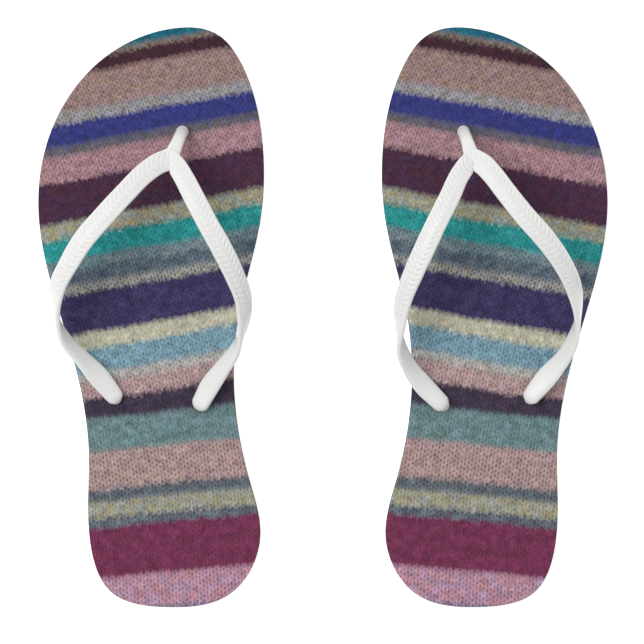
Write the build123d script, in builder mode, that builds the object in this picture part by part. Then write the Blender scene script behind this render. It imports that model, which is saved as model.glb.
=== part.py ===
"""A pair of flip flops, in millimetres, standing on the plane Z = 0 with the toes towards +Y.

The origin is midway between the two sandals. Each sandal is made as the right-hand one, at X > 0, where a
larger X is the outer (little toe) side, and the left-hand one is then its mirror image in the plane X = 0.
A sandal has a rubber outsole, a foam footbed, a knitted textile top and one moulded strap with three plugs. The
sole is one springy sheet, so its layers are cut across the ball of the foot, where a hinge stands for its bending.
"""

import math
import os

from build123d import *

# The sole is die cut from a flat laminate, so its sides are upright and its thickness is the same all over.
OUTSOLE_THICKNESS = 3.0
FOOTBED_THICKNESS = 11.2
TEXTILE_THICKNESS = 0.8
FOOTBED_BOTTOM = OUTSOLE_THICKNESS
TEXTILE_BOTTOM = FOOTBED_BOTTOM + FOOTBED_THICKNESS
SOLE_TOP = TEXTILE_BOTTOM + TEXTILE_THICKNESS

# The sole's outline, from the toe round the outer side to the heel, and back along the inner side.
OUTLINE = [
    (60.0, 126.0),
    (80.0, 121.5),
    (99.5, 109.0),
    (114.0, 90.0),
    (122.3, 66.0),
    (123.2, 40.0),
    (116.8, 10.0),
    (107.0, -24.0),
    (101.8, -58.0),
    (101.5, -95.0),
    (92.0, -119.5),
    (67.5, -126.0),
    (40.0, -120.0),
    (27.5, -98.0),
    (32.3, -70.0),
    (38.6, -33.0),
    (36.3, 3.0),
    (27.3, 42.0),
    (26.3, 76.0),
    (35.3, 110.0),
    (46.0, 123.0),
]

# The line across the ball of the foot where the sole bends. It runs further forward on the big toe side.
BALL_POINT = (75.0, 46.0)
BALL_LINE_ANGLE = 12.0
FLEX_GAP = 0.2

# The strap's plugs: a round stem through the sole, and a flat disc in a round recess under it.
TOE_HOLE = (61.1, 80.5)
OUTER_HOLE = (90.2, -35.2)
INNER_HOLE = (52.2, -38.2)
STEM_RADIUS = 2.7
HOLE_RADIUS = 2.8
DISC_RADIUS = 8.0
DISC_THICKNESS = 2.0
RECESS_RADIUS = 8.6

# The tread: short slanted grooves in rows that make chevrons, away from the edge and the recesses.
TREAD_COLUMNS = 8
TREAD_ROWS = 31
TREAD_PITCH_X = 12.6
TREAD_PITCH_Y = 8.0
TREAD_BORDER = 9.0
GROOVE_LENGTH = 12.0
GROOVE_WIDTH = 2.4
GROOVE_DEPTH = 1.2
GROOVE_SLANT = 32.0

# The strap's edges are rounded by this share of its thickness.
EDGE_ROUNDING = 0.42

# The strap's centre line from the toe junction back to the holes. Each key is X, Y and the height over the
# sole, how far the strap leans there, the turn of its outer face from up towards outwards in degrees, and its
# width and thickness.
OUTER_ARM = [
    (61.0, 70.2, 18.2, 0.7, 0, 9.2, 2.8),
    (65.3, 68.3, 20.0, 0.7, 2, 9.3, 2.8),
    (70.2, 65.9, 22.2, 1.3, 4, 9.3, 2.9),
    (74.2, 62.5, 24.6, 2.0, 6, 9.2, 2.9),
    (82.0, 53.5, 29.0, 3.0, 8, 9.2, 3.0),
    (90.4, 43.6, 31.6, 3.6, 10, 9.4, 3.0),
    (99.3, 33.4, 31.4, 3.5, 14, 9.4, 3.0),
    (106.1, 23.3, 28.6, 3.1, 25, 9.2, 3.0),
    (111.3, 12.8, 24.0, 3.2, 38, 8.8, 3.0),
    (112.7, 1.0, 18.8, 2.6, 78, 8.4, 3.0),
    (109.7, -9.9, 13.4, 1.6, 122, 8.4, 3.0),
    (103.7, -18.4, 8.8, 0.2, 136, 8.8, 3.1),
    (97.0, -26.1, 5.6, 0.0, 154, 9.6, 3.4),
    (90.6, -34.1, 3.5, 0.0, 160, 7.8, 4.0),
]
INNER_ARM = [
    (69.4, 71.4, 18.2, 0.7, 0, 8.2, 2.8),
    (65.3, 68.2, 20.0, 0.7, 2, 8.3, 2.8),
    (62.3, 65.0, 22.0, 0.7, 4, 8.5, 2.9),
    (59.9, 61.4, 24.2, 0.8, 6, 8.6, 2.9),
    (54.9, 51.4, 29.0, 0.5, 8, 9.0, 3.0),
    (49.5, 40.9, 31.6, 0.4, 10, 9.0, 3.0),
    (43.7, 29.6, 31.4, -0.1, 14, 9.3, 3.0),
    (38.5, 18.5, 28.6, -0.3, 24, 9.2, 3.0),
    (34.5, 7.7, 24.0, -0.2, 38, 8.9, 3.0),
    (33.8, -4.0, 18.8, 0.6, 68, 8.6, 3.0),
    (36.1, -14.3, 13.4, 1.9, 120, 8.6, 3.0),
    (40.9, -22.5, 8.8, 2.9, 138, 9.0, 3.1),
    (46.4, -29.8, 5.6, 2.6, 152, 9.3, 3.4),
    (52.0, -37.1, 3.5, 1.0, 158, 8.0, 4.0),
]
TOE_POST = [
    (61.1, 80.4, 0.5, 0.0, 0, 4.6, 4.4),
    (61.2, 80.1, 3.4, 0.0, 0, 5.0, 4.9),
    (61.7, 78.6, 8.4, 0.1, 0, 5.2, 4.6),
    (62.6, 75.9, 13.6, 0.2, 0, 5.4, 4.0),
    (63.8, 72.4, 17.0, 0.4, 0, 6.0, 3.2),
    (64.9, 68.8, 19.4, 0.7, 0, 6.4, 2.4),
]

# Both straps lean a little towards the same side: outwards on the left sandal and inwards on the right one.
LEAN = {"left": 1, "right": -1}
# The arms meet in a crease over the toe post, where each is cut off along a plane.
CREASE_X = 65.3
CREASE_LEAN_SHARE = 0.7
CREASE_OVERLAP = 0.05


def sole_outline(height):
    """The sole's outline as a flat face at a height."""
    with BuildSketch(Plane.XY.offset(height)) as outline:
        with BuildLine():
            Spline(*OUTLINE, periodic=True)
        make_face()
    return outline.sketch


def plug_circles(radius, height):
    """Three flat circles at a height, one for each of the strap's plugs."""
    with BuildSketch(Plane.XY.offset(height)) as circles:
        with Locations(TOE_HOLE, OUTER_HOLE, INNER_HOLE):
            Circle(radius)
    return circles.sketch


def tread_grooves():
    """The tread's grooves as flat slots on the sole's underside, whole ones only."""
    with BuildSketch() as field:
        add(sole_outline(0))
        offset(amount=-TREAD_BORDER, mode=Mode.REPLACE)
        add(plug_circles(RECESS_RADIUS + TREAD_BORDER, 0), mode=Mode.SUBTRACT)
    inside = field.sketch.face()
    with BuildSketch() as grooves:
        for column in range(TREAD_COLUMNS):
            x = BALL_POINT[0] + (column - (TREAD_COLUMNS - 1) / 2) * TREAD_PITCH_X
            slant = GROOVE_SLANT if column % 2 else -GROOVE_SLANT
            for row in range(TREAD_ROWS):
                y = (row - (TREAD_ROWS - 1) / 2) * TREAD_PITCH_Y
                if inside.is_inside((x, y, 0)):
                    with Locations((x, y)):
                        SlotOverall(GROOVE_LENGTH, GROOVE_WIDTH, rotation=slant)
    return grooves.sketch


def keep_half(half):
    """Cuts the part in progress along the ball line and keeps its forefoot or its heel."""
    angle = math.radians(BALL_LINE_ANGLE)
    ball_plane = Plane(
        origin=(*BALL_POINT, 0),
        x_dir=(math.cos(angle), -math.sin(angle), 0),
        z_dir=(math.sin(angle), math.cos(angle), 0),
    )
    if half == "forefoot":
        split(bisect_by=ball_plane.offset(FLEX_GAP / 2), keep=Keep.TOP)
    else:
        split(bisect_by=ball_plane.offset(-FLEX_GAP / 2), keep=Keep.BOTTOM)


def mirror_if_left(side):
    """Mirrors the part in progress when it belongs to the left sandal."""
    if side == "left":
        mirror(about=Plane.YZ, mode=Mode.REPLACE)


def write(part, name):
    """Names a finished piece and writes its STEP file."""
    part.label = name
    export_step(part, f"parts/{name}.step")


def write_outsole(side, half):
    """Rubber outsole with its tread grooves, and the round recesses for the plugs' discs."""
    with BuildPart() as outsole:
        extrude(sole_outline(0), amount=OUTSOLE_THICKNESS)
        extrude(tread_grooves(), amount=GROOVE_DEPTH, mode=Mode.SUBTRACT)
        extrude(plug_circles(RECESS_RADIUS, 0), amount=OUTSOLE_THICKNESS, mode=Mode.SUBTRACT)
        keep_half(half)
        mirror_if_left(side)
    write(outsole.part, f"{side}_outsole_{half}")


def write_sole_layer(name, bottom, thickness, side, half):
    """A layer of the sole over the outsole, with a hole for each of the strap's stems."""
    with BuildPart() as layer:
        extrude(sole_outline(bottom), amount=thickness)
        extrude(plug_circles(HOLE_RADIUS, bottom), amount=thickness, mode=Mode.SUBTRACT)
        keep_half(half)
        mirror_if_left(side)
    write(layer.part, f"{side}_{name}_{half}")


def section_planes(keys, outwards, lean):
    """A plane for each key, square to the centre line, with its X across the strap's width."""
    centres = [Vector(x + lean * share, y, SOLE_TOP + height) for x, y, height, share, *_ in keys]
    path = Edge.make_spline(centres)
    planes = []
    for centre, key in zip(centres, keys):
        along = path.tangent_at(path.param_at_point(centre))
        up = (Vector(0, 0, 1) - along * along.Z).normalized()
        level = up.cross(along) * outwards
        turn = math.radians(key[4])
        outer_face = up * math.cos(turn) + level * math.sin(turn)
        planes.append(Plane(origin=centre, x_dir=along.cross(outer_face), z_dir=along))
    return planes


def write_strap(side):
    """The moulded strap: two arms, the toe post, and the stems and discs of the three plugs, all one piece."""
    with BuildPart() as strap:
        for keys, outwards in ((OUTER_ARM, 1), (INNER_ARM, -1)):
            crease_x = CREASE_X + LEAN[side] * CREASE_LEAN_SHARE - outwards * CREASE_OVERLAP
            with BuildPart():
                for plane, key in zip(section_planes(keys, outwards, LEAN[side]), keys):
                    with BuildSketch(plane):
                        RectangleRounded(key[5], key[6], EDGE_ROUNDING * key[6])
                loft()
                split(bisect_by=Plane(origin=(crease_x, 0, 0), z_dir=(outwards, 0, 0)), keep=Keep.TOP)
        for plane, key in zip(section_planes(TOE_POST, 1, LEAN[side]), TOE_POST):
            with BuildSketch(plane):
                RectangleRounded(key[5], key[6], EDGE_ROUNDING * key[6])
        loft()
        stem_length = SOLE_TOP + 1.6 - (OUTSOLE_THICKNESS - DISC_THICKNESS)
        extrude(plug_circles(STEM_RADIUS, OUTSOLE_THICKNESS - DISC_THICKNESS), amount=stem_length)
        extrude(plug_circles(DISC_RADIUS, OUTSOLE_THICKNESS - DISC_THICKNESS), amount=DISC_THICKNESS)
        mirror_if_left(side)
    write(strap.part, f"{side}_strap")


os.makedirs("parts", exist_ok=True)
for side in ("left", "right"):
    for half in ("forefoot", "heel"):
        write_outsole(side, half)
        write_sole_layer("footbed", FOOTBED_BOTTOM, FOOTBED_THICKNESS, side, half)
        write_sole_layer("textile_top", TEXTILE_BOTTOM, TEXTILE_THICKNESS, side, half)
    write_strap(side)
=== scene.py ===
"""Looks of a pair of flip flops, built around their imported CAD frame.

Shapes are worked out in millimetres for the right sandal, where a larger X is the outer (little toe) side.
new_piece turns them into metres, and mirrors them in the plane X = 0 for the left sandal.
"""

import math

import bpy
import numpy as np
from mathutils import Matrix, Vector


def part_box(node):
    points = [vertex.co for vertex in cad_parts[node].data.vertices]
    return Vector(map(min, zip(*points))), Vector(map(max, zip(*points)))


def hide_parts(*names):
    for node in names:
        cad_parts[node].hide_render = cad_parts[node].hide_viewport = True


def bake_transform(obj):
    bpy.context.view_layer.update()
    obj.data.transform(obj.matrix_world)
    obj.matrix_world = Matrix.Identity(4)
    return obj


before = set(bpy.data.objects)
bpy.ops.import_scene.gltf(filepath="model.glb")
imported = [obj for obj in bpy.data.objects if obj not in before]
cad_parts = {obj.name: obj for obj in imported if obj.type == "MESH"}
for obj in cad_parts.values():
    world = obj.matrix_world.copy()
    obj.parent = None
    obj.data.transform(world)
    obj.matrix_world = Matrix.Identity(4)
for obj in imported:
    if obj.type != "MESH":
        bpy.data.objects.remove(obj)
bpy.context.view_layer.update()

MM = 0.001
SIDES = {"left": -1, "right": 1}

# Heights of the sole's layers, and its ends, from the CAD nodes.
OUTSOLE_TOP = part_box("right_outsole_heel")[1].z / MM
TEXTILE_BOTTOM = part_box("right_textile_top_heel")[0].z / MM
SOLE_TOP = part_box("right_textile_top_heel")[1].z / MM

# The strap's plugs: a stem through the sole and a disc in a recess under it.
TOE_HOLE = (61.1, 80.5)
OUTER_HOLE = (90.2, -35.2)
INNER_HOLE = (52.2, -38.2)
HOLES = (TOE_HOLE, OUTER_HOLE, INNER_HOLE)
STEM_RADIUS = 2.7
HOLE_RADIUS = 2.8
DISC_RADIUS = 8.0
DISC_BOTTOM = 1.0
RECESS_RADIUS = 8.6

# The tread: short slanted grooves in rows that make chevrons, away from the edge and the recesses.
TREAD_MIDDLE = 75.0
TREAD_COLUMNS = 8
TREAD_ROWS = 31
TREAD_PITCH_X = 12.6
TREAD_PITCH_Y = 8.0
TREAD_BORDER = 9.0
GROOVE_LENGTH = 12.0
GROOVE_WIDTH = 2.4
GROOVE_DEPTH = 1.2
GROOVE_SLANT = math.radians(32.0)

# The strap's centre line from the toe junction back to the holes. Each key is X, Y and the height over the
# sole, how far the strap leans there, the turn of its outer face from up towards outwards in degrees, and its
# width and thickness.
OUTER_ARM = [
    (61.0, 70.2, 18.2, 0.7, 0, 9.2, 2.8),
    (65.3, 68.3, 20.0, 0.7, 2, 9.3, 2.8),
    (70.2, 65.9, 22.2, 1.3, 4, 9.3, 2.9),
    (74.2, 62.5, 24.6, 2.0, 6, 9.2, 2.9),
    (82.0, 53.5, 29.0, 3.0, 8, 9.2, 3.0),
    (90.4, 43.6, 31.6, 3.6, 10, 9.4, 3.0),
    (99.3, 33.4, 31.4, 3.5, 14, 9.4, 3.0),
    (106.1, 23.3, 28.6, 3.1, 25, 9.2, 3.0),
    (111.3, 12.8, 24.0, 3.2, 38, 8.8, 3.0),
    (112.7, 1.0, 18.8, 2.6, 78, 8.4, 3.0),
    (109.7, -9.9, 13.4, 1.6, 122, 8.4, 3.0),
    (103.7, -18.4, 8.8, 0.2, 136, 8.8, 3.1),
    (97.0, -26.1, 5.6, 0.0, 154, 9.6, 3.4),
    (90.6, -34.1, 3.5, 0.0, 160, 7.8, 4.0),
]
INNER_ARM = [
    (69.4, 71.4, 18.2, 0.7, 0, 8.2, 2.8),
    (65.3, 68.2, 20.0, 0.7, 2, 8.3, 2.8),
    (62.3, 65.0, 22.0, 0.7, 4, 8.5, 2.9),
    (59.9, 61.4, 24.2, 0.8, 6, 8.6, 2.9),
    (54.9, 51.4, 29.0, 0.5, 8, 9.0, 3.0),
    (49.5, 40.9, 31.6, 0.4, 10, 9.0, 3.0),
    (43.7, 29.6, 31.4, -0.1, 14, 9.3, 3.0),
    (38.5, 18.5, 28.6, -0.3, 24, 9.2, 3.0),
    (34.5, 7.7, 24.0, -0.2, 38, 8.9, 3.0),
    (33.8, -4.0, 18.8, 0.6, 68, 8.6, 3.0),
    (36.1, -14.3, 13.4, 1.9, 120, 8.6, 3.0),
    (40.9, -22.5, 8.8, 2.9, 138, 9.0, 3.1),
    (46.4, -29.8, 5.6, 2.6, 152, 9.3, 3.4),
    (52.0, -37.1, 3.5, 1.0, 158, 8.0, 4.0),
]
TOE_POST = [
    (61.1, 80.4, 0.5, 0.0, 0, 4.6, 4.4),
    (61.2, 80.1, 3.4, 0.0, 0, 5.0, 4.9),
    (61.7, 78.6, 8.4, 0.1, 0, 5.2, 4.6),
    (62.6, 75.9, 13.6, 0.2, 0, 5.4, 4.0),
    (63.8, 72.4, 17.0, 0.4, 0, 6.0, 3.2),
    (64.9, 68.8, 19.4, 0.7, 0, 6.4, 2.4),
]
LEAN = {"left": 1, "right": -1}

# The arms meet in a crease over the post, where each is cut along this X.
CREASE_X = 65.3
CREASE_LEAN = 0.7
CREASE_OVERLAP = 0.02

# The strap's section: how round its corners are, how much thinner its edges are than its middle, and how its
# ends close, as turns from the last full section towards the tip.
SECTION_ROUNDING = 0.62
SECTION_CROWN = 0.16
CAP_TURNS = np.radians([80, 66, 50, 34, 16])
CAP_REACH = 0.9

# The ribs moulded on the strap's outer face: two rows of slanted ribs that meet at a line.
RIB_PITCH = 2.5
RIB_HEIGHT = 0.6
RIB_SLANT = 1.0
RIB_ROUNDING = 0.8
RIB_LINE = 0.26
RIB_LINE_FADE = 0.3
RIB_BORDER = 0.8
RIB_BORDER_FADE = 0.12
RIBS_START = 5.2
RIBS_START_FADE = 1.0
RIBS_END = 90.0
RIBS_END_FADE = 12.0

# The knit: a stitch is one wale wide and one course high, and its two legs make a V. Between the courses the
# legs dip to a share of their height.
WALE = 3.04
COURSE = 2.17
STITCH_V = 0.5
STITCH_RELIEF = 0.16
STITCH_VALLEY = 0.45
STRIPE_BLUR = 1.7

# How the knit lies on the sole: the slope of its stripes at the heel, how much steeper they are ahead of the
# arch, the places in Y between which that changes, and the slant and bow of its wales.
STRIPE_SLOPE = 0.095
STRIPE_SLOPE_GAIN = 0.083
STRIPE_SLOPE_CHANGES = (-45.0, -20.0)
WALE_SLANT = 0.255
WALE_BOW = 0.00085

# The left sandal's knit is a different stretch of the same one, so many wales further on.
LEFT_WALE_SHIFT = 500.0

# The knit's stripes from the toe to the heel: where each ends, in millimetres of Y on the sole's middle line,
# its main colour, the colour that it is mottled with, how much of that shows, and how open its stitches are,
# which sets how dark the painted shade in their gaps is.
STRIPE_MIDDLE = 71.0
STRIPES_TOP = 132.0
STRIPES = [
    (121.3, "1f6580", "25707a", 0.40, 0.30),
    (118.9, "8d756a", "7c756e", 0.45, 0.40),
    (112.9, "482937", "36242a", 0.45, 0.30),
    (97.0, "9b8177", "987f82", 0.60, 0.50),
    (92.2, "96928e", "9898a6", 0.45, 0.50),
    (82.5, "33397d", "3b3c77", 0.45, 0.25),
    (78.0, "5d5d74", "67635f", 0.55, 0.35),
    (66.5, "a6828d", "a98787", 0.50, 0.50),
    (48.7, "4e2c3d", "432f4c", 0.50, 0.30),
    (41.5, "969e9a", "a49a77", 0.60, 0.35),
    (32.3, "238d8a", "35999c", 0.55, 0.35),
    (27.0, "69818a", "7b898e", 0.55, 0.45),
    (20.5, "506171", "6b747d", 0.50, 0.45),
    (16.6, "939496", "a4a091", 0.45, 0.80),
    (-1.2, "383259", "4a4069", 0.45, 0.35),
    (-8.6, "bdb9a4", "b1b09b", 0.35, 0.20),
    (-19.2, "7697a6", "83a4b2", 0.50, 0.45),
    (-23.0, "aeb1ad", "aea4a0", 0.50, 0.50),
    (-31.5, "b09498", "b29b94", 0.50, 0.50),
    (-40.2, "3c3543", "4a3b53", 0.55, 0.35),
    (-54.7, "688181", "769198", 0.50, 0.32),
    (-72.3, "ad9395", "af9690", 0.50, 0.60),
    (-77.0, "5c646b", "6b737c", 0.45, 0.45),
    (-84.8, "9a9e9a", "a39c7d", 0.60, 0.40),
    (-89.0, "5f636f", "6d7883", 0.50, 0.45),
    (-110.9, "71314e", "7b365a", 0.45, 0.20),
    (-124.6, "bb8c98", "b394af", 0.55, 0.55),
    (-135.0, "857f93", "6c7490", 0.50, 0.50),
]

# The range that nearly all of a noise texture's values are in.
NOISE_RANGE = (0.3, 0.7)

# The studio, in metres and watts. The key light is on the left, where the photograph's is. The camera is
# straight above, and sees VIEW_WIDTH across at the height of the soles' tops.
FLOOR_HALF = 1.5
FLOOR_HEIGHT = -0.0002
FLOOR_GLOW = 0.74
WORLD_STRENGTH = 0.38
KEY_PLACE = (-1.0, 0.45, 1.9)
KEY_POWER = 30.0
FILL_PLACE = (1.5, 0.4, 1.5)
FILL_POWER = 7.0
LIGHT_SIZE = 1.5
CAMERA_PLACE = (-0.0004, -0.0021, 3.0)
VIEW_WIDTH = 0.2798
SENSOR_WIDTH_MM = 36.0


# ---- numbers and curves ----


def smoothstep(low, high, value):
    t = np.clip((value - low) / (high - low), 0.0, 1.0)
    return t * t * (3 - 2 * t)


def hermite(knots, values, at):
    """A smooth curve through the values at the knots, with slopes from each knot's two neighbours."""
    slopes = np.gradient(values, knots, axis=0)
    i = np.clip(np.searchsorted(knots, at, side="right") - 1, 0, len(knots) - 2)
    h = (knots[i + 1] - knots[i])[:, None]
    t = ((at - knots[i]) / h[:, 0])[:, None]
    return (
        (2 * t**3 - 3 * t**2 + 1) * values[i]
        + (t**3 - 2 * t**2 + t) * h * slopes[i]
        + (3 * t**2 - 2 * t**3) * values[i + 1]
        + (t**3 - t**2) * h * slopes[i + 1]
    )


def chord_knots(points):
    return np.concatenate([[0.0], np.cumsum(np.linalg.norm(np.diff(points, axis=0), axis=1))])


def outward_normals(loop):
    """Unit normals of a closed anticlockwise loop of 2-D points."""
    along = np.roll(loop, -1, axis=0) - np.roll(loop, 1, axis=0)
    normals = np.stack([along[:, 1], -along[:, 0]], axis=1)
    return normals / np.linalg.norm(normals, axis=1)[:, None]


def sole_loop():
    """The sole's outline, anticlockwise, read from the footbed's CAD nodes and smoothed between them."""
    least_gap = 0.4
    overlap = 4
    samples = 1600
    points = []
    for half in ("heel", "forefoot"):
        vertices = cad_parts[f"right_footbed_{half}"].data.vertices
        points += [(v.co.x / MM, v.co.y / MM) for v in vertices]
    points = np.unique(np.round(points, 3), axis=0)
    for hole in HOLES:
        points = points[np.linalg.norm(points - hole, axis=1) > 2 * HOLE_RADIUS]
    middle = points.min(axis=0) / 2 + points.max(axis=0) / 2
    angles = np.arctan2(points[:, 1] - middle[1], points[:, 0] - middle[0])
    points = points[np.argsort(angles)]
    apart = np.linalg.norm(points - np.roll(points, 1, axis=0), axis=1)
    points = points[apart > least_gap]
    ring = np.concatenate([points[-overlap:], points, points[: overlap + 1]])
    knots = chord_knots(ring)
    start, end = knots[overlap], knots[overlap + len(points)]
    return hermite(knots, ring, np.linspace(start, end, samples, endpoint=False))


LOOP = sole_loop()


# ---- meshes ----


def new_piece(name, side, points, faces, material, uv=None):
    """A mesh object from millimetre points of the right sandal, mirrored if it belongs to the left one."""
    points = np.array(points, float) * MM * (SIDES[side], 1, 1)
    if SIDES[side] < 0:
        faces = [face[::-1] for face in faces]
    mesh = bpy.data.meshes.new(name)
    mesh.from_pydata(points.tolist(), [], [list(map(int, face)) for face in faces])
    if uv is not None:
        corners = np.zeros(len(mesh.loops), np.int32)
        mesh.loops.foreach_get("vertex_index", corners)
        layer = mesh.uv_layers.new(name="knit")
        layer.data.foreach_set("uv", np.array(uv, np.float32)[corners].ravel())
    mesh.materials.append(material)
    piece = bpy.data.objects.new(name, mesh)
    bpy.context.scene.collection.objects.link(piece)
    return piece


def combine(piece, tool, operation):
    """Joins another mesh to a piece, or cuts it out of it."""
    modifier = piece.modifiers.new("combine", "BOOLEAN")
    modifier.operation = operation
    modifier.solver = "MANIFOLD"
    modifier.object = tool
    shown = piece.evaluated_get(bpy.context.evaluated_depsgraph_get())
    mesh = bpy.data.meshes.new_from_object(shown)
    piece.modifiers.clear()
    piece.data = mesh
    bpy.data.objects.remove(tool)


def shade(piece, sharp_degrees):
    """Smooth shading, with edges sharper than the angle left crisp."""
    piece.data.shade_smooth()
    piece.data.set_sharp_from_angle(angle=math.radians(sharp_degrees))


def grid_faces(rows, columns):
    """Quads of a grid of points stored row by row, facing up where rows go to +Y and columns to +X."""
    a = (np.arange(rows - 1)[:, None] * columns + np.arange(columns - 1)).ravel()
    return np.stack([a, a + 1, a + 1 + columns, a + columns], axis=1)


def grid_rim(rows, columns):
    """Indices of the points round a grid, anticlockwise."""
    index = np.arange(rows * columns).reshape(rows, columns)
    return np.concatenate([index[0, :-1], index[:-1, -1], index[-1, :0:-1], index[:0:-1, 0]])


def ring_faces(lower, upper):
    """Quads between two anticlockwise rings of points, facing outwards if the second is the higher."""
    return np.stack([lower, np.roll(lower, -1), np.roll(upper, -1), upper], axis=1)


def sole_grid(inset, row_step, columns):
    """Points in rows across the sole, from side to side of its outline moved inwards.

    The rows close up towards the toe and the heel, where the outline turns.
    """
    end_gap = 0.04
    closing = 6.0
    least_step = 0.05
    loop = LOOP - outward_normals(LOOP) * inset
    low, high = np.argmin(loop[:, 1]), np.argmax(loop[:, 1])
    outer = np.roll(loop, -low, axis=0)[: (high - low) % len(loop) + 1]
    inner = np.roll(loop, -high, axis=0)[: (low - high) % len(loop) + 1][::-1]
    y = [loop[low, 1] + end_gap]
    while y[-1] < loop[high, 1] - end_gap:
        from_end = min(y[-1] - loop[low, 1], loop[high, 1] - y[-1])
        y.append(y[-1] + row_step * min(1.0, math.sqrt(from_end / closing) + least_step))
    y = np.array(y[:-1] + [loop[high, 1] - end_gap])
    x_inner = np.interp(y, inner[:, 1], inner[:, 0])
    x_outer = np.interp(y, outer[:, 1], outer[:, 0])
    across = np.linspace(0.0, 1.0, columns)
    x = x_inner[:, None] + across * (x_outer - x_inner)[:, None]
    return x, np.repeat(y[:, None], columns, axis=1)


def sole_slab(profile, row_step, columns):
    """A closed slab with the sole's outline. The profile is its wall from the bottom, as (inset, height)."""
    first_inset, bottom = profile[0]
    last_inset, top = profile[-1]
    points, faces = [], []
    x, y = sole_grid(first_inset, row_step, columns)
    rows = x.shape[0]
    points.append(np.stack([x.ravel(), y.ravel(), np.full(x.size, bottom)], axis=1))
    faces.append(grid_faces(rows, columns)[:, ::-1])
    rim = grid_rim(rows, columns)
    edge = points[0][rim, :2]
    normals = outward_normals(edge)
    ring = rim
    count = x.size
    for inset, height in profile[1:-1]:
        moved = edge + normals * (first_inset - inset)
        points.append(np.column_stack([moved, np.full(len(rim), height)]))
        upper = count + np.arange(len(rim))
        faces.append(ring_faces(ring, upper))
        ring = upper
        count += len(rim)
    shift = np.zeros((x.size, 2))
    shift[rim] = normals * (first_inset - last_inset)
    flat = np.stack([x.ravel(), y.ravel()], axis=1) + shift
    points.append(np.column_stack([flat, np.full(x.size, top)]))
    faces.append(grid_faces(rows, columns) + count)
    faces.append(ring_faces(ring, rim + count))
    return np.concatenate(points), [face for group in faces for face in group]


def lathe(profile, centre, segments=48):
    """A closed turned solid on a vertical axis. The profile runs up from the axis and back to it."""
    angles = np.linspace(0.0, 2 * math.pi, segments, endpoint=False)
    x, y = centre
    points = [(*centre, profile[0][1])]
    for radius, height in profile[1:-1]:
        points += [(x + radius * math.cos(a), y + radius * math.sin(a), height) for a in angles]
    points.append((*centre, profile[-1][1]))
    faces = []
    first = 1 + np.arange(segments)
    faces += [(0, b, a) for a, b in zip(first, np.roll(first, -1))]
    for k in range(len(profile) - 3):
        faces += list(ring_faces(first + k * segments, first + (k + 1) * segments))
    last = first + (len(profile) - 3) * segments
    faces += [(len(points) - 1, a, b) for a, b in zip(last, np.roll(last, -1))]
    return np.array(points), faces


def joined(parts):
    """Several (points, faces) as one."""
    points, faces, count = [], [], 0
    for part_points, part_faces in parts:
        points.append(part_points)
        faces += [tuple(int(i) + count for i in face) for face in part_faces]
        count += len(part_points)
    return np.concatenate(points), faces


# ---- the strap ----


def rib_relief(along, across, width):
    """The relief of the ribs, from 0 on their crowns down, at a distance along the arm.

    Across runs from -1 to 1 over the outer face.
    """
    from_line = np.abs(across - RIB_LINE) * width / 2
    wave = np.abs(np.sin(math.pi * (along + RIB_SLANT * from_line) / RIB_PITCH)) ** RIB_ROUNDING
    border = smoothstep(RIB_BORDER, RIB_BORDER - RIB_BORDER_FADE, np.abs(across))
    border = border * smoothstep(0.0, RIB_LINE_FADE, from_line)
    length = smoothstep(RIBS_START, RIBS_START + RIBS_START_FADE, along)
    length = length * smoothstep(RIBS_END, RIBS_END - RIBS_END_FADE, along)
    return RIB_HEIGHT * (wave * border - border) * length


def band(keys, outwards, lean, step, ribs, around=56):
    """A closed band with a rounded section along the keys' smooth centre line, with rounded ends."""
    table = np.array([(x + lean * share, y, SOLE_TOP + z, *rest) for x, y, z, share, *rest in keys], float)
    knots = chord_knots(table[:, :3])
    at = np.linspace(0.0, knots[-1], int(knots[-1] / step) + 2)
    line = hermite(knots, table, at)
    centre, turn = line[:, :3], np.radians(line[:, 3])
    half_width, half_thickness = line[:, 4] / 2, line[:, 5] / 2
    tangent = np.gradient(centre, at, axis=0)
    tangent /= np.linalg.norm(tangent, axis=1)[:, None]
    up = np.array([0.0, 0.0, 1.0]) - tangent * tangent[:, 2:]
    up /= np.linalg.norm(up, axis=1)[:, None]
    level = np.cross(up, tangent) * outwards
    face = up * np.cos(turn)[:, None] + level * np.sin(turn)[:, None]
    side = np.cross(tangent, face) * outwards
    angles = np.linspace(0.0, 2 * math.pi, around, endpoint=False)
    cosine, sine = np.cos(angles), np.sin(angles)
    across = np.sign(cosine) * np.abs(cosine) ** SECTION_ROUNDING
    through = np.sign(sine) * np.abs(sine) ** SECTION_ROUNDING
    through *= 1 - SECTION_CROWN * across**2
    # Each ring is a section's number, how far beyond it the ring lies in half widths, and its scale.
    rings = [(0, -math.sin(t), math.cos(t)) for t in CAP_TURNS]
    rings += [(i, 0.0, 1.0) for i in range(len(at))]
    rings += [(len(at) - 1, math.sin(t), math.cos(t)) for t in CAP_TURNS[::-1]]
    points = []
    for i, reach, scale in rings:
        thickness = np.full(around, half_thickness[i])
        if ribs:
            relief = rib_relief(at[i], across, 2 * half_width[i])
            thickness = thickness + np.where(through > 0, relief, 0.0) / np.maximum(through, 0.3)
        offset = side[i] * (across * half_width[i] * scale)[:, None]
        offset = offset + face[i] * (through * thickness * scale)[:, None]
        points.append(centre[i] + tangent[i] * reach * half_width[i] * CAP_REACH + offset)
    points = np.concatenate(points)
    faces = []
    for k in range(len(rings) - 1):
        lower = k * around + np.arange(around)
        faces += list(ring_faces(lower, lower + around))
    faces.append(tuple(range(around))[::-1])
    faces.append(tuple(range(len(points) - around, len(points))))
    if outwards < 0:
        faces = [tuple(face)[::-1] for face in faces]
    return points, faces


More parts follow.
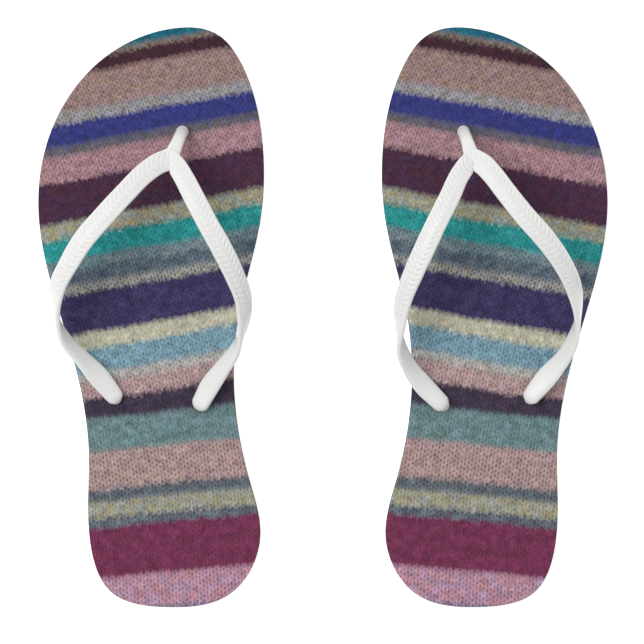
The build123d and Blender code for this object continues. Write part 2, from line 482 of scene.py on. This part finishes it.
def beyond_crease(outwards, lean):
    """A box that takes an arm's start off, as far as the crease."""
    crease = CREASE_X + lean * CREASE_LEAN - outwards * CREASE_OVERLAP
    across = sorted((crease, crease - outwards * 20))
    along = (45, 90)
    heights = (SOLE_TOP + 4, SOLE_TOP + 40)
    corners = [(x, y, z) for z in heights for y in along for x in across]
    faces = [(0, 2, 3, 1), (4, 5, 7, 6), (0, 1, 5, 4), (2, 6, 7, 3), (0, 4, 6, 2), (1, 3, 7, 5)]
    return np.array(corners, float), faces


def plug(hole):
    """A stem with its disc, which has a shallow dish and a raised rim underneath."""
    profile = [
        (0.0, DISC_BOTTOM + 0.5),
        (3.2, DISC_BOTTOM + 0.5),
        (4.0, DISC_BOTTOM + 0.15),
        (4.6, DISC_BOTTOM),
        (6.9, DISC_BOTTOM),
        (7.7, DISC_BOTTOM + 0.25),
        (DISC_RADIUS, DISC_BOTTOM + 0.8),
        (DISC_RADIUS, OUTSOLE_TOP - 0.5),
        (7.6, OUTSOLE_TOP - 0.1),
        (3.4, OUTSOLE_TOP - 0.1),
        (STEM_RADIUS, OUTSOLE_TOP + 0.4),
        (STEM_RADIUS, SOLE_TOP + 1.0),
        (2.2, SOLE_TOP + 1.6),
        (0.0, SOLE_TOP + 1.8),
    ]
    return lathe(profile, hole)


def moulded_strap(side, material):
    """One moulding: two ribbed arms, the toe post and three plugs."""
    name = f"{side}_moulded_strap"
    lean = LEAN[side]
    arms = []
    for arm_name, keys, outwards in ((name, OUTER_ARM, 1), ("strap_arm", INNER_ARM, -1)):
        arm = new_piece(arm_name, side, *band(keys, outwards, lean, 0.25, True), material)
        cutter = new_piece("strap_tool", side, *beyond_crease(outwards, lean), material)
        combine(arm, cutter, "DIFFERENCE")
        arms.append(arm)
    strap, other_arm = arms
    combine(strap, other_arm, "UNION")
    for points, faces in (band(TOE_POST, 1, lean, 0.4, False), *(plug(hole) for hole in HOLES)):
        combine(strap, new_piece("strap_tool", side, points, faces, material), "UNION")
    shade(strap, 50)
    return strap


# ---- the sole ----


def knit_coordinates(x, y):
    """Where a point of the sole lies in the knit: in wales across, and in millimetres along its stripes."""
    slope = STRIPE_SLOPE + STRIPE_SLOPE_GAIN * smoothstep(*STRIPE_SLOPE_CHANGES, y)
    wave = 0.2 * np.sin(x / 9.0 + y / 31.0) + 0.12 * np.sin(x / 4.3 - y / 17.0)
    return (x - WALE_SLANT * y - WALE_BOW * y**2) / WALE, y + slope * (x - STRIPE_MIDDLE) + wave


def stitch_height(wales, stripes):
    """The knit's height from 0 in the gaps to 1 on the crowns of the stitches' legs."""
    leg = np.abs(np.mod(wales, 1.0) - 0.5) * 2
    row = np.mod(stripes / COURSE - STITCH_V * leg, 1.0)
    crown = 1 - (2 * leg - 1) ** 2
    bulge = 1 - (2 * row - 1) ** 2
    return np.sqrt(crown) * (STITCH_VALLEY + (1 - STITCH_VALLEY) * np.sqrt(bulge))


def knitted_top(side, material):
    """The knitted textile that covers the footbed, with its stitches in relief and its cut edge all round."""
    columns = 190
    row_step = 0.52
    edge_inset = 0.35
    lowest = SOLE_TOP - 0.12
    x, y = sole_grid(edge_inset, row_step, columns)
    rows = x.shape[0]
    wales, stripes = knit_coordinates(x, y)
    # The relief fades out over the last two columns and the last two or three rows.
    from_edge = np.minimum(np.arange(columns), np.arange(columns)[::-1])[None, :] * 0.5
    from_end = np.minimum(np.arange(rows), np.arange(rows)[::-1])[:, None] * 0.4
    fade = smoothstep(0.0, 1.0, np.minimum(from_edge, from_end))
    z = lowest + STITCH_RELIEF * (0.5 + fade * (stitch_height(wales, stripes) - 0.5))
    points = [np.stack([x.ravel(), y.ravel(), z.ravel()], axis=1)]
    faces = [grid_faces(rows, columns)]
    rim = grid_rim(rows, columns)
    edge = points[0][rim]
    normals = outward_normals(edge[:, :2])
    ring, count = rim, x.size
    wall = ((0.22, SOLE_TOP - 0.14), (edge_inset, SOLE_TOP - 0.34), (edge_inset, TEXTILE_BOTTOM))
    for outset, height in wall:
        points.append(np.column_stack([edge[:, :2] + normals * outset, np.full(len(rim), height)]))
        lower = count + np.arange(len(rim))
        faces.append(ring_faces(lower, ring))
        ring = lower
        count += len(rim)
    points = np.concatenate(points)
    uv = np.stack(knit_coordinates(points[:, 0], points[:, 1]), axis=1)
    uv[:, 0] += LEFT_WALE_SHIFT * (SIDES[side] < 0)
    piece = new_piece(f"{side}_knitted_top", side, points, np.concatenate(faces), material, uv)
    shade(piece, 60)
    return piece


def foam_footbed(side, material):
    """The foam body of the sole. Its die-cut wall draws in slightly, and it has three holes for the stems."""
    height = TEXTILE_BOTTOM - OUTSOLE_TOP
    inset, drawn_in = 0.05, 0.35
    wall = [(0.25, OUTSOLE_TOP), (inset, OUTSOLE_TOP + 0.25)]
    for share in (0.12, 0.25, 0.4, 0.55, 0.7, 0.85):
        wall.append((inset + drawn_in * math.sin(math.pi * share), OUTSOLE_TOP + share * height))
    wall += [(inset, TEXTILE_BOTTOM - 0.2), (0.2, TEXTILE_BOTTOM)]
    foam = new_piece(f"{side}_foam_footbed", side, *sole_slab(wall, 2.2, 40), material)
    for hole in HOLES:
        low, high = OUTSOLE_TOP - 1, SOLE_TOP
        profile = [(0, low), (HOLE_RADIUS, low), (HOLE_RADIUS, high), (0, high)]
        combine(foam, new_piece("foam_tool", side, *lathe(profile, hole), material), "DIFFERENCE")
    shade(foam, 40)
    return foam


def groove(centre, slant):
    """A closed cutter for one tread groove: a slot that narrows a little towards its bottom."""
    half_turn = np.linspace(-math.pi / 2, math.pi / 2, 9)
    reach = GROOVE_LENGTH / 2 - GROOVE_WIDTH / 2
    cosine, sine = math.cos(slant), math.sin(slant)
    points = []
    for height, narrower in ((-0.6, -0.15), (GROOVE_DEPTH - 0.25, 0.15), (GROOVE_DEPTH, 0.4)):
        radius = GROOVE_WIDTH / 2 - narrower
        outline = [(reach + radius * math.cos(a), radius * math.sin(a)) for a in half_turn]
        outline += [(-reach - radius * math.cos(a), -radius * math.sin(a)) for a in half_turn]
        for x, y in outline:
            points.append((centre[0] + x * cosine - y * sine, centre[1] + x * sine + y * cosine, height))
    count = 2 * len(half_turn)
    ring = np.arange(count)
    faces = [tuple(ring[::-1])]
    faces += [tuple(face) for k in range(2) for face in ring_faces(ring + k * count, ring + (k + 1) * count)]
    faces.append(tuple(ring + 2 * count))
    return np.array(points), faces


def tread_spots():
    """Centres and slants of the tread's grooves: whole ones only."""
    spots = []
    normals = outward_normals(LOOP)
    for column in range(TREAD_COLUMNS):
        x = TREAD_MIDDLE + (column - (TREAD_COLUMNS - 1) / 2) * TREAD_PITCH_X
        slant = GROOVE_SLANT if column % 2 else -GROOVE_SLANT
        for row in range(TREAD_ROWS):
            spot = np.array([x, (row - (TREAD_ROWS - 1) / 2) * TREAD_PITCH_Y])
            nearest = np.argmin(np.linalg.norm(LOOP - spot, axis=1))
            depth = np.dot(LOOP[nearest] - spot, normals[nearest])
            from_hole = min(np.linalg.norm(spot - hole) for hole in HOLES)
            if depth > TREAD_BORDER and from_hole > RECESS_RADIUS + TREAD_BORDER:
                spots.append((spot, slant))
    return spots


def rubber_outsole(side, material):
    """The outsole, with its tread grooves and the recesses for the plugs' discs."""
    wall = [(0.5, 0.0), (0.15, 0.15), (0.0, 0.5), (0.0, OUTSOLE_TOP - 0.15), (0.15, OUTSOLE_TOP)]
    outsole = new_piece(f"{side}_rubber_outsole", side, *sole_slab(wall, 2.4, 36), material)
    cutters = [groove(spot, slant) for spot, slant in tread_spots()]
    for hole in HOLES:
        profile = [
            (0, -1),
            (RECESS_RADIUS + 0.3, -1),
            (RECESS_RADIUS + 0.3, 0.0),
            (RECESS_RADIUS, 0.3),
            (RECESS_RADIUS, OUTSOLE_TOP + 1),
            (0, OUTSOLE_TOP + 1),
        ]
        cutters.append(lathe(profile, hole, 64))
    combine(outsole, new_piece("tread_tool", side, *joined(cutters), material), "DIFFERENCE")
    shade(outsole, 35)
    return outsole


# ---- materials ----


def linear(hex_colour):
    """A colour written as RRGGBB, as Blender's linear RGBA."""
    channels = [int(hex_colour[i : i + 2], 16) / 255 for i in (0, 2, 4)]
    return (*(c / 12.92 if c <= 0.04045 else ((c + 0.055) / 1.055) ** 2.4 for c in channels), 1.0)


class Shader:
    """A node material under construction."""

    def __init__(self, name, roughness):
        self.material = bpy.data.materials.new(name)
        self.material.use_nodes = True
        self.tree = self.material.node_tree
        self.tree.nodes.clear()
        self.surface = self.add("ShaderNodeBsdfPrincipled", {"Roughness": roughness})
        output = self.add("ShaderNodeOutputMaterial")
        self.tree.links.new(self.surface.outputs["BSDF"], output.inputs["Surface"])

    def add(self, kind, inputs=None, **settings):
        """A node with its settings, and with its inputs set to values or linked to sockets."""
        node = self.tree.nodes.new(kind)
        for name, value in settings.items():
            setattr(node, name, value)
        for name, value in (inputs or {}).items():
            self.put(node.inputs[name], value)
        return node

    def put(self, socket, value):
        if isinstance(value, bpy.types.NodeSocket):
            self.tree.links.new(value, socket)
        else:
            socket.default_value = value

    def math(self, operation, *values):
        node = self.add("ShaderNodeMath", operation=operation)
        for socket, value in zip(node.inputs, values):
            self.put(socket, value)
        return node.outputs[0]

    def scaled(self, value, factor):
        return self.math("MULTIPLY", value, factor)

    def noise(self, vector, scale, detail=2.0, roughness=0.5, output="Fac"):
        inputs = {"Vector": vector, "Scale": scale, "Detail": detail, "Roughness": roughness}
        return self.add("ShaderNodeTexNoise", inputs).outputs[output]

    def spread(self, value, low, high, new_low, new_high):
        """A value between low and high, mapped to a new range and held there outside it."""
        inputs = {"Value": value, "From Min": low, "From Max": high, "To Min": new_low, "To Max": new_high}
        return self.add("ShaderNodeMapRange", inputs).outputs["Result"]

    def varied(self, noise, new_low, new_high):
        """A noise with its usual range mapped to a new one."""
        return self.spread(noise, *NOISE_RANGE, new_low, new_high)

    def blend(self, share, first, second, mode="MIX"):
        node = self.add("ShaderNodeMix", data_type="RGBA", blend_type=mode)
        for name, value in (("Factor_Float", share), ("A_Color", first), ("B_Color", second)):
            socket = next(s for s in node.inputs if s.identifier == name)
            self.put(socket, value)
        return next(s for s in node.outputs if s.identifier == "Result_Color")

    def bump(self, height, strength, distance, normal=None):
        inputs = {"Height": height, "Strength": strength, "Distance": distance}
        if normal is not None:
            inputs["Normal"] = normal
        return self.add("ShaderNodeBump", inputs).outputs["Normal"]

    def ramp(self, position, stops):
        """A stepped ramp: each stop is its start, its colour and its alpha."""
        node = self.add("ShaderNodeValToRGB", {"Fac": position})
        ramp = node.color_ramp
        ramp.interpolation = "CONSTANT"
        while len(ramp.elements) < len(stops):
            ramp.elements.new(1.0)
        for element, (start, colour, alpha) in zip(ramp.elements, stops):
            element.position = start
            element.color = (*colour[:3], alpha)
        return node.outputs["Color"], node.outputs["Alpha"]


def knit_material():
    """A felted stockinette knit in stripes: V stitches, mottled yarns and fuzz, with painted shade in the
    gaps between the stitches.
    """
    shader = Shader("striped_knit", 0.92)
    uv = shader.add("ShaderNodeUVMap", uv_map="knit").outputs["UV"]
    parts = shader.add("ShaderNodeSeparateXYZ", {"Vector": uv})
    wales, stripes = parts.outputs["X"], parts.outputs["Y"]
    # Noise reads the knit in millimetres. Fibres lie mostly along the wales, so theirs is drawn out that way.
    in_mm = {"X": shader.scaled(wales, WALE), "Y": stripes}
    spot = shader.add("ShaderNodeCombineXYZ", in_mm).outputs["Vector"]
    drawn_out = shader.add("ShaderNodeMapping", {"Vector": spot, "Scale": (1.0, 0.32, 1.0)}).outputs["Vector"]
    fibres = shader.noise(drawn_out, 1.35, 3.0, 0.6)
    tufts = shader.noise(spot, 0.5, 3.0, 0.55)
    blotches = shader.noise(spot, 0.2, 3.0, 0.6)
    # Each wale has two legs. A leg is 0 at the wale's middle and 1 at its edge, and slants the courses.
    leg = shader.math("ABSOLUTE", shader.math("SUBTRACT", shader.math("FRACT", wales), 0.5))
    leg = shader.scaled(leg, 2.0)
    slanted = shader.math("SUBTRACT", shader.math("DIVIDE", stripes, COURSE), shader.scaled(leg, STITCH_V))
    wobble = shader.scaled(shader.math("SUBTRACT", tufts, 0.5), 0.4)
    row = shader.math("FRACT", shader.math("ADD", slanted, wobble))
    crown = shader.math("PINGPONG", leg, 0.5)
    bulge = shader.math("PINGPONG", row, 0.5)
    # Which stripe a spot is in: jagged by the stitches, ragged with loose fibres, and read at three places a
    # little apart to soften the boundaries.
    jagged = shader.scaled(shader.math("SUBTRACT", leg, 0.5), -0.6 * STITCH_V * COURSE)
    jagged = shader.math("ADD", stripes, jagged)
    for noise, reach in ((fibres, 4.0), (tufts, 3.0), (blotches, 2.2)):
        jagged = shader.math("ADD", jagged, shader.scaled(shader.math("SUBTRACT", noise, 0.5), reach))
    bottom = STRIPES[-1][0]
    tops = [STRIPES_TOP] + [stripe[0] for stripe in STRIPES[:-1]]
    places = [(STRIPES_TOP - top) / (STRIPES_TOP - bottom) for top in tops]
    main_stops = [(place, linear(stripe[1]), stripe[4]) for place, stripe in zip(places, STRIPES)]
    second_stops = [(place, linear(stripe[2]), stripe[3]) for place, stripe in zip(places, STRIPES)]
    readings = []
    for shift in (-STRIPE_BLUR / 2, 0.0, STRIPE_BLUR / 2):
        shifted = shader.math("ADD", jagged, shift)
        position = shader.spread(shifted, STRIPES_TOP, bottom, 0.0, 1.0)
        main, gaps = shader.ramp(position, main_stops)
        second, mottling = shader.ramp(position, second_stops)
        share = shader.math("MULTIPLY", shader.spread(blotches, 0.4, 0.6, 0.0, 1.6), mottling)
        readings.append((shader.blend(share, main, second), gaps))
    (yarn_before, gaps_before), (yarn_here, _), (yarn_after, gaps_after) = readings
    yarn = shader.blend(1 / 3, shader.blend(0.5, yarn_before, yarn_after), yarn_here)
    gaps = shader.math("ADD", gaps_before, gaps_after)
    # Mixed fibres: uneven in lightness, and a little in hue.
    clouds = shader.noise(spot, 0.28)
    for noise, darkest, lightest in ((fibres, 0.73, 1.27), (tufts, 0.86, 1.14), (clouds, 0.79, 1.21)):
        yarn = shader.blend(1.0, yarn, shader.varied(noise, darkest, lightest), "MULTIPLY")
    tints = shader.noise(drawn_out, 0.4, 3.0, 0.6, "Color")
    yarn = shader.blend(0.12, yarn, tints, "SOFT_LIGHT")
    # Painted shade: the gaps between the legs are darker, as shade falls into them, save where the felting
    # has closed them.
    felted = shader.spread(shader.noise(spot, 0.3), 0.36, 0.52, 0.5, 1.0)
    painted_gap_shade = shader.spread(crown, 0.02, 0.36, 1.0, 0.0)
    painted_gap_shade = shader.math("MULTIPLY", painted_gap_shade, shader.spread(bulge, 0.04, 0.44, 1.0, 0.0))
    painted_gap_shade = shader.math("MULTIPLY", shader.math("MULTIPLY", painted_gap_shade, gaps), felted)
    # The painted shade in a gap is a grey tinted by the yarn twice, as light that bounces in the gap is.
    yarn_in_painted_shade = shader.blend(0.7, (0.35, 0.35, 0.35, 1.0), yarn)
    yarn_in_painted_shade = shader.blend(1.0, yarn, yarn_in_painted_shade, "MULTIPLY")
    yarn = shader.blend(shader.math("MINIMUM", painted_gap_shade, 1.0), yarn, yarn_in_painted_shade)
    shader.put(shader.surface.inputs["Base Color"], yarn)
    shader.surface.inputs["Sheen Weight"].default_value = 0.1
    shader.surface.inputs["Sheen Roughness"].default_value = 0.6
    shader.surface.inputs["Specular IOR Level"].default_value = 0.15
    loops = shader.math("MULTIPLY", shader.math("POWER", crown, 0.6), shader.math("POWER", bulge, 0.5))
    height = shader.math("ADD", loops, shader.scaled(fibres, 0.4))
    shader.put(shader.surface.inputs["Normal"], shader.bump(height, 0.4, 0.0003))
    shader.put(shader.surface.inputs["Roughness"], shader.varied(fibres, 0.86, 0.97))
    return shader.material


def solid_material(name, colour, roughness, grain_scale, grain_depth, contrast):
    """A shader for a polymer of one colour, with fine grain and slightly uneven colour and gloss."""
    shader = Shader(name, roughness)
    spot = shader.add("ShaderNodeTexCoord").outputs["Object"]
    grain = shader.noise(spot, grain_scale, 4.0, 0.6)
    clouds = shader.noise(spot, grain_scale / 40, 3.0, 0.55)
    lighter = tuple(min(1.0, c * (1 + contrast)) for c in linear(colour)[:3]) + (1.0,)
    darker = tuple(c * (1 - contrast) for c in linear(colour)[:3]) + (1.0,)
    tint = shader.blend(shader.varied(clouds, 0.0, 1.0), darker, lighter)
    shader.put(shader.surface.inputs["Base Color"], tint)
    gloss = shader.varied(grain, roughness - 0.06, roughness + 0.06)
    shader.put(shader.surface.inputs["Roughness"], gloss)
    shader.put(shader.surface.inputs["Normal"], shader.bump(grain, 0.5, grain_depth))
    return shader


def foam_material():
    """Closed-cell foam, cut through its cells."""
    shader = solid_material("charcoal_foam", "2b2b2d", 0.82, 900.0, 0.0001, 0.25)
    spot = shader.add("ShaderNodeTexCoord").outputs["Object"]
    cells = shader.add("ShaderNodeTexVoronoi", {"Vector": spot, "Scale": 1600.0}).outputs["Distance"]
    normal = shader.surface.inputs["Normal"].links[0].from_socket
    shader.put(shader.surface.inputs["Normal"], shader.bump(cells, 0.6, 0.00012, normal))
    return shader.material


def strap_material():
    """Soft white moulded plastic with a satin skin."""
    shader = solid_material("white_moulded_plastic", "ebebe9", 0.4, 500.0, 0.00003, 0.012)
    shader.surface.inputs["Specular IOR Level"].default_value = 0.45
    return shader.material


def rubber_material():
    """Black rubber with a dull skin."""
    return solid_material("black_rubber", "232324", 0.62, 1400.0, 0.00006, 0.2).material


# ---- assembly ----


def bend_with_sole(piece):
    """Bakes the piece's transform into its mesh."""
    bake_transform(piece)


def cad_halves(side, layer):
    """The two CAD nodes that one layer of a sole is cut into."""
    return [f"{side}_{layer}_{half}" for half in ("heel", "forefoot")]


def build_sandals():
    """The four pieces of each sandal, in place of its CAD nodes, which are hidden."""
    knit, foam, rubber, plastic = knit_material(), foam_material(), rubber_material(), strap_material()
    for side in SIDES:
        top = knitted_top(side, knit)
        footbed = foam_footbed(side, foam)
        outsole = rubber_outsole(side, rubber)
        strap = moulded_strap(side, plastic)
        for piece, layer, slot in (
            (top, "textile_top", "knitted_textile"),
            (footbed, "footbed", "footbed_foam"),
            (outsole, "outsole", "outsole_rubber"),
        ):
            bend_with_sole(piece)
            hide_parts(*cad_halves(side, layer))
        bend_with_sole(strap)
        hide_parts(f"{side}_strap")


def stage_floor():
    """A plain pale floor, just under the soles."""
    mesh = bpy.data.meshes.new("floor")
    signs = ((-1, -1), (1, -1), (1, 1), (-1, 1))
    corners = [(x * FLOOR_HALF, y * FLOOR_HALF, FLOOR_HEIGHT) for x, y in signs]
    mesh.from_pydata(corners, [], [(0, 1, 2, 3)])
    shader = Shader("pale_floor", 0.9)
    shader.surface.inputs["Base Color"].default_value = linear("f8f8f8")
    shader.surface.inputs["Emission Color"].default_value = (1.0, 1.0, 1.0, 1.0)
    shader.surface.inputs["Emission Strength"].default_value = FLOOR_GLOW
    mesh.materials.append(shader.material)
    floor = bpy.data.objects.new("floor", mesh)
    bpy.context.scene.collection.objects.link(floor)


def area_light(name, place, power):
    """A round soft light that points at the object."""
    light = bpy.data.lights.new(name, "AREA")
    light.energy = power
    light.shape = "DISK"
    light.size = LIGHT_SIZE
    lamp = bpy.data.objects.new(name, light)
    lamp.location = place
    lamp.rotation_euler = (-Vector(place)).to_track_quat("-Z", "Y").to_euler()
    bpy.context.scene.collection.objects.link(lamp)


def light_and_camera():
    """Soft studio light, and a camera that looks straight down on both sandals."""
    scene = bpy.context.scene
    scene.view_settings.view_transform = "Standard"
    world = bpy.data.worlds.new("studio")
    world.use_nodes = True
    background = world.node_tree.nodes["Background"]
    background.inputs["Color"].default_value = (1.0, 1.0, 1.0, 1.0)
    background.inputs["Strength"].default_value = WORLD_STRENGTH
    scene.world = world
    area_light("key", KEY_PLACE, KEY_POWER)
    area_light("fill", FILL_PLACE, FILL_POWER)
    camera = bpy.data.cameras.new("camera")
    camera.sensor_width = SENSOR_WIDTH_MM
    camera.lens = SENSOR_WIDTH_MM * (CAMERA_PLACE[2] - SOLE_TOP * MM) / VIEW_WIDTH
    camera.clip_end = 100.0
    viewpoint = bpy.data.objects.new("camera", camera)
    viewpoint.location = CAMERA_PLACE
    scene.collection.objects.link(viewpoint)
    scene.camera = viewpoint


light_and_camera()
stage_floor()
build_sandals()
